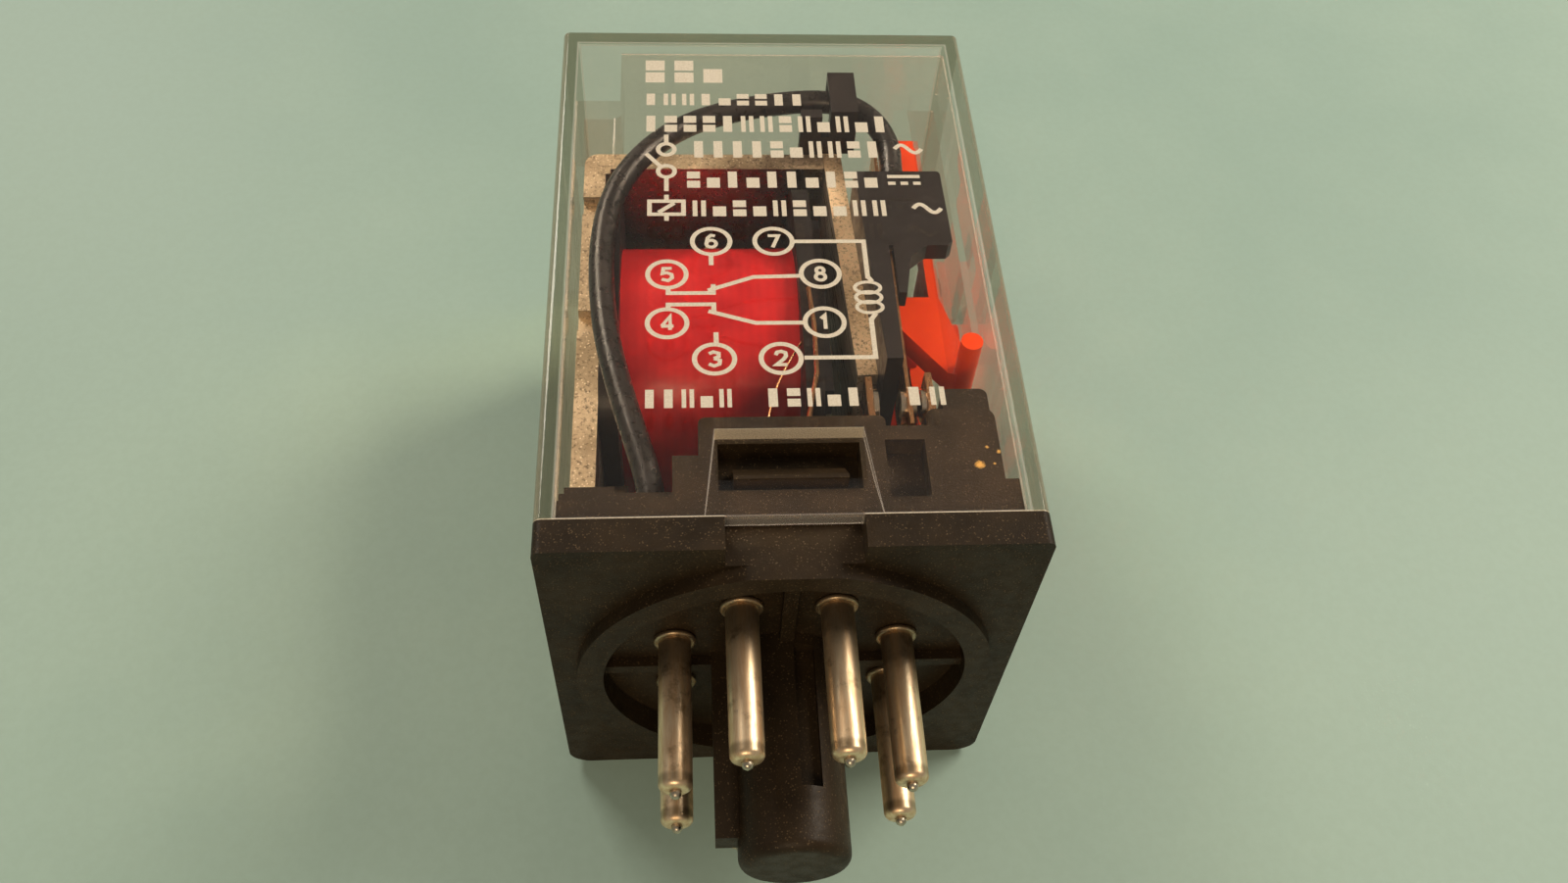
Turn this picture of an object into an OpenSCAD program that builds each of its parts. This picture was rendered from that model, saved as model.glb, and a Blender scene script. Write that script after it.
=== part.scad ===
// Eight-pin plug-in power relay: two changeover poles, clear cover, test lever.
// X runs across the body towards the contacts, Y runs from the pins to the closed
// end of the cover, and Z points out of the front face.
// The origin is on the plug's axis, in the seating plane of the base's ring.

/* [Housing] */
// Width of the body across X
body_w = 34; // [33:0.5:42]
// Depth of the body from its back face to its front face
body_d = 34; // [33:0.5:42]
// Length of the cover from its seam to its closed end
cover_len = 49; // [47:0.5:60]
// Wall of the clear cover
cover_wall = 1.2; // [0.8:0.1:1.4]
// Thickness of the base's square flange
flange_t = 2.5; // [1.5:0.1:4]
// Height of the base's insert above the seam
deck_h = 3.5; // [3:0.1:5]
// Gap between the base's insert and the cover
insert_gap = 0.15; // [0.05:0.05:0.3]
// Radius of the flange's and cover's front edges
front_r = 0.6; // [0.3:0.1:1]
// Radius of the flange's back edges
back_r = 1.8; // [0.5:0.1:3]

/* [Plug] */
// Diameter of the circle that the pins stand on
pin_circle_d = 17.45; // [15:0.05:21]
// Number of pins
pin_count = 8; // [8]
// Diameter of a pin
pin_d = 2.36; // [2:0.02:2.8]
// Length of a pin below the seating plane
pin_len = 9.6; // [8:0.1:12]
// Radius of the rolled collar on a pin
collar_r = 1.55; // [1.4:0.05:2]
// Diameter of a pin's shank inside the base
pin_shank_d = 2; // [1.6:0.1:2.2]
// Clearance of a pin in the base
pin_fit = 0.02; // [0.01:0.01:0.05]
// Diameter of the centre post
post_d = 7.8; // [6:0.1:9]
// Length of the centre post
post_len = 14; // [10:0.1:16]
// Reach of the key beyond the post
key_out = 1.5; // [1:0.1:2]
// Width of the key
key_w = 2; // [1.4:0.1:2.6]
// Length of the key
key_len = 12.1; // [9:0.1:14]
// Outer radius of the seating ring
ring_r = 15.2; // [14:0.1:16]
// Width of the seating ring
ring_w = 1.9; // [1.2:0.1:2.5]
// Height of the seating ring above the flange
ring_h = 1.1; // [0.6:0.1:1.6]
// Depth of the recess inside the ring
recess_h = 1.9; // [1.2:0.1:2.5]

/* [Magnet] */
// Thickness of the steel yoke
yoke_t = 1.8; // [1.4:0.1:2.2]
// Width of the yoke along Z
yoke_w = 20; // [16:0.5:22]
// Space between the yoke's top and the cover's closed end
top_space = 6.2; // [5.6:0.1:8]
// Diameter of the core
core_d = 8; // [6:0.1:9]
// Side of the bobbin's square flanges
bobbin_side = 24; // [20:0.5:24.5]
// Thickness of a bobbin flange
bobbin_t = 1.4; // [1:0.1:2]
// Diameter of the taped winding
coil_d = 21.6; // [18:0.1:22]
// Thickness of the coil's tape
tape_t = 0.25; // [0.15:0.05:0.4]
// Gap between the yoke and the bobbin
bobbin_gap = 2.8; // [1:0.1:3.5]

/* [Armature] */
// Thickness of the armature
armature_t = 1.6; // [1.2:0.1:1.8]
// Width of the armature along Z
armature_w = 19; // [14:0.5:20]
// Angle that the armature turns through, in degrees
swing = 2.5; // [1.5:0.1:3]
// Distance from the pole face to the blades at rest
pole_to_blade = 4.2; // [4:0.1:5]
// Distance from the blades to the cover's right wall
blade_to_wall = 6.4; // [6.2:0.1:7.5]

/* [Contacts] */
// Distance of each pole's centre from the middle plane
pole_z = 11.15; // [10.8:0.05:11.4]
// Width of a moving blade
blade_w = 3.5; // [2.5:0.1:3.8]
// Thickness of a moving blade
blade_t = 0.3; // [0.2:0.05:0.4]
// Radius of a contact rivet's head
contact_r = 1.5; // [1.2:0.1:1.7]
// Height of a contact rivet's head
contact_h = 0.6; // [0.4:0.05:0.8]
// Height of the contacts above the deck
contact_up = 9.4; // [8.5:0.1:10]
// Thickness of a fixed terminal
terminal_t = 0.5; // [0.4:0.05:0.6]
// Air left between closed contacts
contact_gap = 0.03; // [0.02:0.01:0.05]
// Diameter of a pole's flexible lead
lead_d = 2; // [1.6:0.1:2.2]

/* [Test lever] */
// Diameter of the lever's pivot rod
pivot_d = 1.7; // [1.4:0.1:2.2]
// Play between the rod and its pocket
pivot_play = 0.06; // [0.05:0.01:0.1]
// Half width of the lever along Z
lever_half = 9; // [7:0.5:9]
// Diameter of the button
button_d = 3.6; // [3:0.1:4.5]
// Radial clearance of the button in the cover
button_gap = 0.5; // [0.4:0.1:0.8]
// Gap between the lever's nose and the armature's pusher
nose_gap = 0.15; // [0.1:0.05:0.2]

/* [Hidden] */
$fn = 48;
eps = 0.01;
fit = 0.02;          // assembly gap between pieces of one body
part_gap = 0.1;      // air between a moulding and the metal beside it
inner_w = body_w - 2 * cover_wall;
inner_d = body_d - 2 * cover_wall;
x_right = inner_w / 2;
x_left = -x_right;
z_front = inner_d / 2;

// Heights along the plug's axis
y_flange = ring_h;
y_seam = y_flange + flange_t;
y_deck = y_seam + deck_h;
y_end = y_seam + cover_len;
y_end_in = y_end - cover_wall;
yoke_top = y_end_in - top_space;
yoke_under = yoke_top - yoke_t;
coil_y = yoke_under - bobbin_gap - bobbin_side / 2;
contact_y = y_deck + contact_up;

// Places across the body
yoke_x0 = x_left + 0.4;
yoke_x1 = yoke_x0 + yoke_t;
blade_x = x_right - blade_to_wall;
pole_x = blade_x - pole_to_blade;
bobbin_x0 = yoke_x1 + part_gap;
bobbin_x1 = pole_x - 1.8;
coil_x0 = bobbin_x0 + bobbin_t;
coil_x1 = bobbin_x1 - bobbin_t;

// Armature: a plate that lies on the pole face when it is pulled in
seat_gap = 0.06;                      // anti-stick gap on the pole face
hinge = [pole_x, yoke_top];
armature_low = coil_y - core_d / 2 - 3.6;
armature_high = yoke_top + 1.2;
tail_w = 5;
tail_high = yoke_top + 3.2;

// Contact carrier on the armature
card_right = blade_x - blade_t / 2 - fit;
card_low = contact_y + contact_r + 1.4;
card_top = yoke_top - 5.9;
carrier_half = pole_z + 2.45;         // front of the carrier's wings
wing_t = 1.6;
wing_h = 8.4;
wing_reach = 4.9;
clamp_t = 1.35;
pusher_half = 4;
carrier_rivet = [5.7, card_top - 2.4, 0.8];   // distance from the middle plane, height, radius
pusher_face = blade_x + 0.7;
blade_low = contact_y - contact_r - 1.1;
tag_top = card_top + 4.5;

rivet_r = 0.7;                        // shank of a contact rivet

// Fixed contacts, placed from the moving contacts at each end of the swing
head_tip = blade_t / 2 + contact_h;
nc_x = blade_x + head_tip + contact_gap + contact_h;
reach_y = hinge.y - contact_y;
no_tip = pole_x + (blade_x - head_tip - pole_x) * cos(swing) - reach_y * sin(swing);
no_x = no_tip - contact_gap - contact_h;
no_top = card_low - 1.15;
nc_top = contact_y + contact_r + 0.6;

// Test lever
pivot_x = x_right - pivot_play - pivot_d / 2;
nose_r = 0.55;
nose_y = card_top - wing_h - 2.0;
pivot_y = nose_y - 7.1;
nose_x = pusher_face + nose_gap + nose_r;
arm_top = y_end_in - 3.3;
arm_x0 = pivot_x - 2;
arm_w = 0.8;
paddle_x0 = pivot_x - 2.9;
button_y = nose_y + 2.9;
button_end = body_w / 2 - 0.15;
rib_z = [9.6, 11.6];                  // cover ribs beside the lever
tongue_t = 0.6;
rod_half = rib_z[1] + 1;

// Outline of a fixed terminal's strip in Z, and the base's blocks around it
strip_z0 = pole_z - 1.7;
strip_z1 = pole_z + 1.7;
foot_w = 2.4;
tower_z = z_front - insert_gap;       // outer face of the blocks on the insert
block_z0 = strip_z1 + fit;            // inner face of the blocks beside the strips
block_x0 = blade_x + 0.4;
block_x1 = x_right - 1.1;

// Spring axis, its left end and the yoke's hole for its hook
spring_y = yoke_top + 2;
spring_turns = 9;
spring_pitch = 0.8;
spring_x0 = pole_x - 1 - spring_turns * spring_pitch;
hook_x = spring_x0 - 1.6;
hook_r = 0.3;

// Pin angles seen from the pins' end, with X to the right and Z up; the key
// points to -X, and pin 1 is the first one clockwise from it
function pin_angle(i) = 180 - (i - 0.5) * 360 / pin_count;
function pin_at(i) = [pin_circle_d / 2 * cos(pin_angle(i)), pin_circle_d / 2 * sin(pin_angle(i))];
pin_head_r = 1.6;
foot_t = 0.5;
pin_head_t = 0.5;

// Leads: the front one's route, and the rear one is its mirror image
lead_z = z_front - 2.7;
lead_route = [
    [pin_at(1)[0] - 1.35, y_deck + 0.05, lead_z - 0.2],
    [pin_at(1)[0] - 1.55, y_deck + 2, lead_z - 0.1],
    [bobbin_x0 + 2.9, y_deck + 5.6, lead_z],
    [bobbin_x0 + 1.7, y_deck + 10, lead_z],
    [bobbin_x0 + 0.6, y_deck + 15, lead_z],
    [bobbin_x0 + 0.1, y_deck + 20, lead_z],
    [bobbin_x0, y_deck + 24.4, lead_z],
    [bobbin_x0 + 0.5, yoke_top - 9.4, lead_z],
    [bobbin_x0 + 1.6, yoke_top - 6, lead_z],
    [bobbin_x0 + 3.7, yoke_top - 2.6, lead_z],
    [bobbin_x0 + 6.7, yoke_top + 0.2, lead_z],
    [pole_x - 8.4, yoke_top + 1.9, lead_z],
    [pole_x - 4.6, yoke_top + 2.9, lead_z],
    [pole_x - 0.8, yoke_top + 3.4, lead_z],
    [pole_x + 2.4, yoke_top + 2.9, lead_z],
    [blade_x + 0.5, yoke_top + 1, lead_z - 0.4],
    [blade_x + 1.45, yoke_top - 1.4, lead_z - 0.9],
    [blade_x + 1.35, yoke_top - 3.6, lead_z - 1.1],
    [blade_x + 1.3, card_top + 0.5, lead_z - 1.2]
];

// Fine coil wire from the bobbin to the tag on its pin
wire_d = 0.4;
coil_wire_route = [
    [bobbin_x1 - 0.7, coil_y - 1, bobbin_side / 2 + 0.3],
    [bobbin_x1 - 0.5, coil_y - 5, bobbin_side / 2 + 0.35],
    [bobbin_x1 - 0.6, coil_y - 9.5, bobbin_side / 2 + 0.35],
    [bobbin_x1 - 1.4, coil_y - 13.5, bobbin_side / 2 + 0.1],
    [bobbin_x1 - 3.2, y_deck + 5.2, bobbin_side / 2 - 1.2],
    [bobbin_x1 - 5.4, y_deck + 3.6, pin_at(2)[1] + 1.4],
    [pin_at(2)[0] + 1.9, y_deck + 3.1, pin_at(2)[1] + 0.3]
];

// Turns a child drawn on XZ and raised along its own Z into one that rises along Y
module up_y(y = 0) {
    translate([0, y, 0]) rotate([-90, 0, 0]) children();
}

// Raises a child along X instead of its own Z; the child's own -X becomes Z
module along_x(x = 0) {
    translate([x, 0, 0]) rotate([0, 90, 0]) children();
}

// An XY outline with a thickness along Z from z0 to z1
module slab(z0, z1) {
    translate([0, 0, z0]) linear_extrude(z1 - z0) children();
}

module box(low, high) {
    translate(low) cube([high[0] - low[0], high[1] - low[1], high[2] - low[2]]);
}

// A rectangle centred on the axis with true round corners; r_up is used at +y
module rounded_rect(w, h, r_up, r_down) {
    for (s = [-1, 1]) {
        translate([s * (w / 2 - r_up), h / 2 - r_up]) circle(r_up);
        translate([s * (w / 2 - r_down), -h / 2 + r_down]) circle(r_down);
    }
    translate([-w / 2 + r_up, 0]) square([w - 2 * r_up, h / 2]);
    translate([-w / 2, 0]) square([w, h / 2 - r_up]);
    translate([-w / 2 + r_down, -h / 2]) square([w - 2 * r_down, h / 2 + eps]);
    translate([-w / 2, -h / 2 + r_down]) square([w, h / 2 - r_down + eps]);
}

// Draws a child and its mirror image behind the middle plane
module both_poles() {
    children();
    mirror([0, 0, 1]) children();
}

// The child as it stands at rest, drawn as it stands when pulled in
module at_rest() {
    translate([hinge.x, hinge.y, 0]) rotate([0, 0, swing]) translate([-hinge.x, -hinge.y, 0]) children();
}

// A tube swept along a route, with its ends square to the route
module swept(route, d, sides = 8) {
    n = len(route);
    function unit(v) = v / norm(v);
    function tangent(i) = unit(route[min(i + 1, n - 1)] - route[max(i - 1, 0)]);
    function side_at(i) = unit(cross(tangent(i), [0.13, 0.21, 1]));
    function ring(i) = let (t = tangent(i), u = side_at(i), v = cross(t, u))
        [for (k = [0 : sides - 1]) route[i] + d / 2 * (u * cos(k * 360 / sides) + v * sin(k * 360 / sides))];
    points = [for (i = [0 : n - 1]) each ring(i)];
    walls = [for (i = [0 : n - 2], k = [0 : sides - 1])
        [i * sides + k, i * sides + (k + 1) % sides, (i + 1) * sides + (k + 1) % sides, (i + 1) * sides + k]];
    ends = [[for (k = [sides - 1 : -1 : 0]) k], [for (k = [0 : sides - 1]) (n - 1) * sides + k]];
    polyhedron(points, concat(walls, ends), convexity = 6);
}

// ---- Housing ----

notch_half = 4.6;
notch_z = body_d / 2 - 2.1;
window_top = y_seam + 7;
window_low = y_seam + 3.2;
window_half = 5.1;

module flange() {
    up_y(y_flange) linear_extrude(flange_t) mirror([0, 1]) rounded_rect(body_w, body_d, front_r, back_r);
}

module insert(h) {
    up_y(y_seam - eps) linear_extrude(h + eps)
        square([inner_w - 2 * insert_gap, inner_d - 2 * insert_gap], center = true);
}

module seating_ring() {
    up_y(0) difference() {
        cylinder(h = ring_h + eps, r = ring_r, $fn = 96);
        translate([0, 0, -1]) cylinder(h = ring_h + 2, r = ring_r - ring_w, $fn = 96);
    }
    box([-1.9, 0, ring_r - 1.5], [2.3, ring_h + eps, notch_z]);
}

module post() {
    round_r = 0.8;
    rotate([90, 0, 0]) rotate_extrude($fn = 64) {
        translate([0, -recess_h]) square([post_d / 2, post_len + recess_h - round_r]);
        square([post_d / 2 - round_r, post_len]);
        translate([post_d / 2 - round_r, post_len - round_r]) circle(round_r);
    }
    box([-post_d / 2 - key_out, -key_len, -key_w / 2], [0, recess_h, key_w / 2]);
}

// The blocks on the insert that carry the latch and the fixed terminals
module towers() {
    low = y_deck - eps;
    // latch block behind the window
    slab(block_z0, tower_z) rounded_top(-6.2, 6.9, low, y_deck + 5.5, 0.5);
    // low wall with a pocket, between the latch block and the terminal block
    box([6.2, low, block_z0], [block_x0 + eps, y_deck + 4.6, tower_z]);
    // terminal block with rounded upper corners, and the slab that holds the outer strip
    slab(tower_z - 2.4, tower_z) rounded_top(block_x0, block_x1, low, y_deck + 6, 0.8);
    slab(block_z0 - 4, tower_z - 2.4 + eps)
        rounded_top(nc_x - 0.5, block_x1 - 1.2, low, y_deck + 7.8, 0.8);
    slab(block_z0 - 1.5, tower_z - 2.4 + eps)
        rounded_top(nc_x + terminal_t + 0.4, block_x1 + 0.4, low, y_deck + 9.6, 0.6);
    // ledges at the yoke's side
    box([x_left + 0.5, low, tower_z - 2.6], [-11.9, y_deck + 0.5, tower_z - 1]);
    box([-8, low, tower_z - 2.6], [-6 + eps, y_deck + 2.3, tower_z]);
}

// A rectangle on XY with its two upper corners rounded
module rounded_top(x0, x1, y0, y1, r) {
    translate([x0, y0]) square([x1 - x0, y1 - y0 - r]);
    translate([x0 + r, y0]) square([x1 - x0 - 2 * r, y1 - y0]);
    for (x = [x0 + r, x1 - r]) translate([x, y1 - r]) circle(r);
}

// Posts under the bobbin
module bobbin_rests() {
    rest_top = coil_y - bobbin_side / 2 - part_gap;
    half = pin_at(4)[1] - 2;
    for (x = [coil_x0 - bobbin_t, bobbin_x1 - 1.8])
        box([x, y_deck - eps, -half], [x + 1.8, rest_top, half]);
    box([coil_x0, y_deck - eps, -1], [bobbin_x1 - 1, y_deck + 4, 1]);
}

module latch_pocket() {
    box([-notch_half - 0.3, y_deck - 0.6, tower_z - 1.8], [notch_half + 0.3, window_top - 0.3, tower_z + 1]);
    box([6.7, y_seam + 2.2, tower_z - 1.8], [block_x0 - 0.3, y_deck + 3.4, tower_z + 1]);
}

module base() {
    color([0.13, 0.115, 0.1]) {
        base_body();
        latch_tongues();
        post_and_slots();
    }
}

module base_body() {
    difference() {
        union() {
            flange();
            insert(deck_h);
            seating_ring();
            both_poles() towers();
            bobbin_rests();
        }
        // recess inside the ring, with its cross of ribs left standing
        up_y(-1) difference() {
            cylinder(h = recess_h + 1, r = ring_r - ring_w, $fn = 96);
            translate([0, 0, 1 + ring_h + eps]) for (a = [0, 90]) rotate(a)
                translate([-ring_r, -0.5, 0]) cube([2 * ring_r, 1, recess_h]);
        }
        for (i = [1 : pin_count]) translate([pin_at(i)[0], 0, pin_at(i)[1]])
            up_y(0) cylinder(h = y_deck + 1, r = pin_shank_d / 2 + pin_fit);
        both_poles() {
            // thumb notch in the flange, and the pockets behind the cover's window
            box([-notch_half, -1, notch_z], [notch_half, y_seam + 0.6, body_d]);
            latch_pocket();
            // step along the insert's front edge at the yoke's side
            box([x_left - 1, y_deck - 1.2, tower_z - 1], [-8, y_deck + 2, body_d]);
            // blind hole for the pole's lead
            translate([lead_route[0][0], y_deck, lead_route[0][2]])
                up_y(-1.5) cylinder(h = 3, r = lead_d / 2 + part_gap);
        }
        yoke_feet(fit);
        both_poles() strip_room();
    }
}

// Slot for the outer strip, open towards the contacts
module strip_room() {
    x1 = nc_x + terminal_t;
    box([x1 - foot_w - fit, y_deck, 0], [x1 + fit, y_deck + foot_t + fit, block_z0]);
    box([nc_x - 1, y_deck, strip_z0 - fit], [x1 + fit, nc_top, block_z0]);
}

// Wedge that snaps into the cover's window
module latch_tongues() {
    low = window_low + part_gap;
    both_poles() slab_x([[low, tower_z - 2.2], [low, tower_z + 0.75], [low + 0.3, tower_z + 0.75],
            [window_top - 1.6, tower_z - 1.2], [window_top - 1.6, tower_z - 2.2]],
        -notch_half + 0.7, notch_half - 0.7);
}

// A YZ outline with a thickness along X from x0 to x1
module slab_x(points, x0, x1) {
    translate([x0, 0, 0]) rotate([0, 90, 0]) linear_extrude(x1 - x0)
        polygon([for (p = points) [-p[1], p[0]]]);
}

module post_and_slots() {
    slot_w = 1.5;
    slot_deep = 1.3;
    slot_len = 9.6;
    difference() {
        post();
        both_poles()
            box([1.2 - slot_w / 2, -slot_len, post_d / 2 - slot_deep], [1.2 + slot_w / 2, 1, post_d]);
    }
}

module cover_shell() {
    difference() {
        up_y(y_seam) linear_extrude(cover_len) mirror([0, 1]) rounded_rect(body_w, body_d, front_r, front_r);
        up_y(y_seam - 1) linear_extrude(cover_len - cover_wall + 1) square([inner_w, inner_d], center = true);
    }
}

// Rib that holds one end of the lever's rod: a ledge above it and a tongue beside it
module lever_rib() {
    tongue_x1 = pivot_x - pivot_d / 2 - pivot_play;
    tongue_x0 = tongue_x1 - tongue_t;
    ledge_y = pivot_y + pivot_d / 2 + pivot_play;
    tongue_low = pivot_y - pivot_d / 2 + 0.3;
    slab(rib_z[0], rib_z[1]) {
        translate([tongue_x0, ledge_y]) square([x_right - tongue_x0 + eps, y_end_in - ledge_y + eps]);
        translate([tongue_x0, tongue_low]) square([tongue_t, ledge_y - tongue_low + eps]);
        translate([tongue_x0 + tongue_t / 2, tongue_low]) circle(tongue_t / 2);
    }
}

// Boss that keeps the yoke's corner down
module yoke_boss() {
    boss_w = 3.7;
    boss_r = 1.4;
    boss_z = yoke_w / 2 - 1.5;
    boss_d = z_front - boss_z + eps;
    up_y(yoke_top + part_gap) linear_extrude(y_end_in - yoke_top - part_gap + eps) mirror([0, 1]) {
        translate([x_left - eps, boss_z]) square([boss_w - boss_r, boss_d]);
        translate([x_left - eps, boss_z + boss_r]) square([boss_w, boss_d - boss_r]);
        translate([x_left + boss_w - boss_r - eps, boss_z + boss_r]) circle(boss_r);
    }
}

// Window for the latch, with a sloped lead-in between it and the rim
module cover_window() {
    rim_half = window_half + 0.9;
    deep = 0.6;
    face = body_d / 2;
    box([-window_half, window_low, z_front - 1], [window_half, window_top, body_d]);
    intersection() {
        slab(z_front - 1, face + 1)
            polygon([[-rim_half, y_seam - 1], [rim_half, y_seam - 1],
                [window_half, window_top], [-window_half, window_top]]);
        slab_x([[y_seam - 1, face], [y_seam, face], [window_low + eps, face - deep],
                [window_top, face - deep], [window_top, face + 2], [y_seam - 1, face + 2]],
            -rim_half - 1, rim_half + 1);
    }
}

module cover() {
    color([0.86, 0.88, 0.84, 0.3]) difference() {
        union() {
            cover_shell();
            both_poles() {
                lever_rib();
                yoke_boss();
            }
        }
        both_poles() cover_window();
        translate([0, button_y, 0]) along_x(x_right - 1)
            cylinder(h = cover_wall + 2, r = button_d / 2 + button_gap);
    }
}

// ---- Pins ----

module pin_shape() {
    tip_r = 0.62;
    round_r = 0.5;
    bore_r = 0.42;
    bore_deep = 1.2;
    outer = pin_d / 2;
    collar_y = recess_h - 0.45;
    head_y = y_deck + foot_t + fit;
    rotate([-90, 0, 0]) rotate_extrude($fn = 40) difference() {
        union() {
            translate([0, -pin_len + round_r]) square([outer, collar_y + pin_len - round_r + 0.2]);
            square([pin_shank_d / 2, head_y + eps]);
            translate([0, -pin_len]) square([outer - round_r, round_r + eps]);
            translate([outer - round_r, -pin_len + round_r]) circle(round_r);
            translate([0, collar_y]) square([collar_r - 0.2, 0.45 - fit]);
            translate([collar_r - 0.22, collar_y + 0.215]) circle(0.215);
            translate([0, head_y]) square([pin_head_r, pin_head_t]);
        }
        translate([-1, -pin_len - 1]) square([1 + bore_r, bore_deep + 1]);
        translate([-5, -pin_len - 5]) square([5, 80]);
    }
}

module pin(i) {
    color([0.72, 0.66, 0.52]) translate([pin_at(i)[0], 0, pin_at(i)[1]]) pin_shape();
}

module pin_solder() {
    color([0.8, 0.79, 0.76]) for (i = [1 : pin_count]) translate([pin_at(i)[0], 0, pin_at(i)[1]])
        rotate([90, 0, 0]) rotate_extrude($fn = 24) {
            translate([0, pin_len - 1]) square([0.4, 1.15]);
            intersection() {
                translate([0, pin_len + 0.15]) circle(0.4);
                translate([0, pin_len]) square(0.6);
            }
        }
}

// ---- Magnet ----

// Tabs at the yoke's foot, and the slots they are pressed into
module yoke_feet(gap = 0) {
    for (s = [-1, 1])
        box([yoke_x0 - gap, y_deck - 2.4 - gap, s * 6 - 2 - gap],
            [yoke_x1 + gap, y_deck + 1, s * 6 + 2 + gap]);
}

module yoke() {
    bend_r = 1.2;
    edge_cut = 0.9;
    color([0.62, 0.6, 0.55]) difference() {
        union() {
            slab(-yoke_w / 2, yoke_w / 2) difference() {
                union() {
                    translate([yoke_x0, y_deck + 0.6]) square([yoke_t, yoke_top - y_deck - 0.6 - bend_r]);
                    translate([yoke_x0 + bend_r, yoke_under]) square([pole_x - yoke_x0 - bend_r, yoke_t]);
                    translate([yoke_x0 + bend_r, yoke_top - bend_r]) circle(bend_r);
                    translate([yoke_x0 + bend_r - eps, yoke_top - 2 * bend_r]) square([1, bend_r]);
                }
            }
            yoke_feet();
        }
        // core hole, and the notches along the edges of the back leg
        translate([0, coil_y, 0]) along_x(yoke_x0 - 1) cylinder(h = yoke_t + 2, r = core_d / 2 - 1 + fit);
        both_poles() for (y = [coil_y - 3.2, coil_y + 9.4])
            box([yoke_x0 - 1, y, yoke_w / 2 - edge_cut], [yoke_x1 + 1, y + 2, yoke_w / 2 + 1]);
        // hole that the return spring hooks into
        translate([hook_x, 0, 0]) up_y(yoke_under - 1) cylinder(h = yoke_t + 2, r = 0.6);
    }
}

module core() {
    neck = core_d / 2 - 1;
    half_slot = 0.55;
    color([0.66, 0.65, 0.62]) translate([0, coil_y, 0]) difference() {
        along_x(yoke_x0 + fit) union() {
            cylinder(h = yoke_t + 1, r = neck);
            translate([0, 0, yoke_t + fit]) cylinder(h = pole_x - yoke_x0 - yoke_t - 2 * fit, r = core_d / 2);
        }
        // slot across the pole face that holds the shading ring
        box([pole_x - 1.6, 0.9, -core_d], [pole_x + 1, 0.9 + 2 * half_slot, core_d]);
        box([pole_x - 1.6, -eps, core_d / 2 - 0.9], [pole_x + 1, core_d, core_d]);
        box([pole_x - 1.6, -eps, -core_d], [pole_x + 1, core_d, -core_d / 2 + 0.9]);
    }
}

// Copper frame round the upper part of the pole face
module shading_ring() {
    z_in = core_d / 2 - 0.9 + fit;
    color([0.72, 0.42, 0.25]) translate([0, coil_y, 0]) difference() {
        box([pole_x - 1.5, 0.9 + fit, -z_in - 0.8], [pole_x - 0.1, core_d / 2 + 0.9, z_in + 0.8]);
        box([pole_x - 3, 2 - fit, -z_in], [pole_x + 1, core_d / 2 + fit, z_in]);
    }
}

module bobbin() {
    corner = 3;
    tube_r = core_d / 2 + 1.1;
    color([0.12, 0.11, 0.1]) translate([0, coil_y, 0]) difference() {
        union() {
            for (x = [bobbin_x0, coil_x1])
                along_x(x) linear_extrude(bobbin_t) rounded_rect(bobbin_side, bobbin_side, corner, corner);
            along_x(bobbin_x0) cylinder(h = bobbin_x1 - bobbin_x0, r = tube_r);
            // collar round the pole face, and blocks that anchor the wire ends
            along_x(bobbin_x1 - eps) cylinder(h = 1.1, r = core_d / 2 + 2.4);
            for (s = [-1, 1])
                box([bobbin_x1 - eps, -9.5, s * 8.6 - 1.5], [bobbin_x1 + 0.9, 8.5, s * 8.6 + 1.5]);
        }
        along_x(bobbin_x0 - 1) cylinder(h = bobbin_x1 - bobbin_x0 + 4, r = core_d / 2 + fit);
        // room for the shading ring in the collar
        box([bobbin_x1 - 0.2, 0.7, -core_d / 2 - 0.2], [bobbin_x1 + 3, core_d / 2 + 1.2, core_d / 2 + 0.2]);
    }
}

module coil_winding() {
    color([0.6, 0.3, 0.16]) translate([0, coil_y, 0]) along_x(coil_x0 + fit) difference() {
        cylinder(h = coil_x1 - coil_x0 - 2 * fit, r = coil_d / 2 - tape_t - fit, $fn = 72);
        translate([0, 0, -1]) cylinder(h = coil_x1 - coil_x0 + 2, r = core_d / 2 + 1.1 + fit);
    }
}

module coil_tape() {
    color([0.8, 0.06, 0.08]) translate([0, coil_y, 0]) along_x(coil_x0 + fit) difference() {
        cylinder(h = coil_x1 - coil_x0 - 2 * fit, r = coil_d / 2, $fn = 72);
        translate([0, 0, -1]) cylinder(h = coil_x1 - coil_x0 + 2, r = coil_d / 2 - tape_t, $fn = 72);
    }
}

// Solder tag under the head of a coil pin
module coil_tag() {
    p = pin_at(2);
    color([0.75, 0.7, 0.55]) {
        tag_foot(p, x1 = pin_head_r + part_gap + terminal_t);
        box([p[0] + pin_head_r + part_gap, y_deck, p[1] - 1],
            [p[0] + pin_head_r + part_gap + terminal_t, y_deck + 2.9, p[1] + 1]);
    }
}

// A flat foot with a hole for the pin's body
module tag_foot(p, x0 = -1.9, x1 = 1.9, z0 = -1.9, z1 = 1.9) {
    difference() {
        box([p[0] + x0, y_deck, p[1] + z0], [p[0] + x1, y_deck + foot_t, p[1] + z1]);
        translate([p[0], 0, p[1]]) up_y(y_deck - 1) cylinder(h = 3, r = pin_shank_d / 2 + pin_fit);
    }
}

module coil_wire() {
    color([0.7, 0.36, 0.18]) swept(coil_wire_route, wire_d, 6);
}

// ---- Armature ----

module armature() {
    x0 = pole_x + seat_gap;
    color([0.64, 0.62, 0.56]) at_rest() {
        box([x0, armature_low, -armature_w / 2], [x0 + armature_t, armature_high, armature_w / 2]);
        box([x0, armature_high - eps, -tail_w / 2], [x0 + armature_t - 0.6, tail_high, tail_w / 2]);
    }
}

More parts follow.
